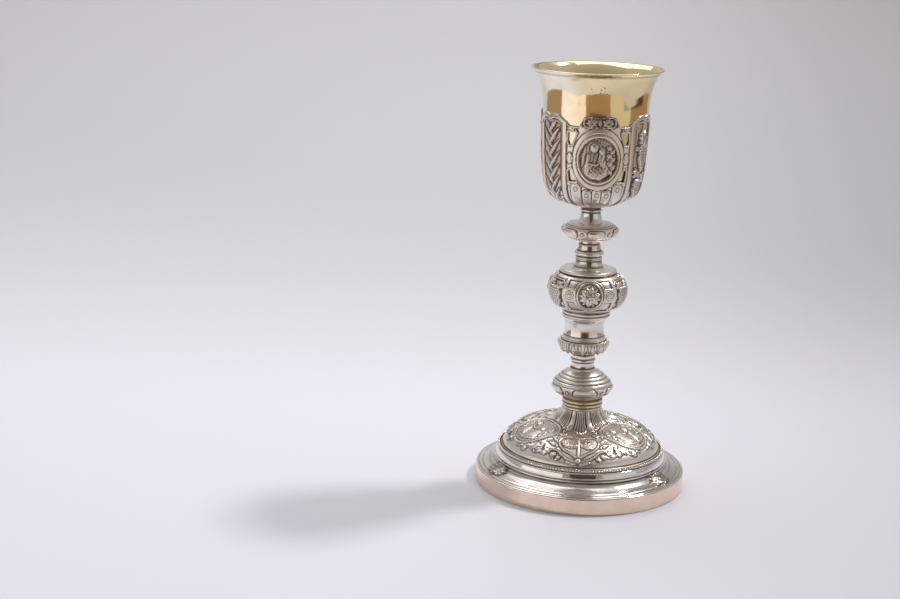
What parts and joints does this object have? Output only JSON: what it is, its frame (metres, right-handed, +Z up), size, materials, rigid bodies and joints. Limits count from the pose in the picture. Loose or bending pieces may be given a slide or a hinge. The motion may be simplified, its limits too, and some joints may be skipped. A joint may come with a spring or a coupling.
{
  "type": "chalice",
  "caption": "Silver chalice with a gilt cup in an openwork sheath, a stem of turned knops and a round embossed foot, hollow below.",
  "frame": {"origin": "on the axis of the foot and cup, in the plane that the foot's rim stands on", "axes": "+Z up along the stem, -Y the front, towards the medallion that faces the viewer, +X to the viewer's right"},
  "size_m": [0.151, 0.151, 0.3],
  "materials": {
    "silver": "polished silver with dark brown tarnish in the recesses and fine wear scratches",
    "warm_silver": "silver with a worn yellowish tone, softly polished",
    "gilt": "smooth polished pale gilding, lightly pitted near the lip"
  },
  "bodies": {
    "root": {"cup": "gilt", "calyx": "silver", "neck": "silver", "upper_knop": "silver", "spool": "silver", "nodus": "silver", "vase": "silver", "leaf_ring": "silver", "lower_spool": "silver", "lower_knop": "silver", "collar": "warm_silver", "foot": "silver"}
  },
  "joints": []
}
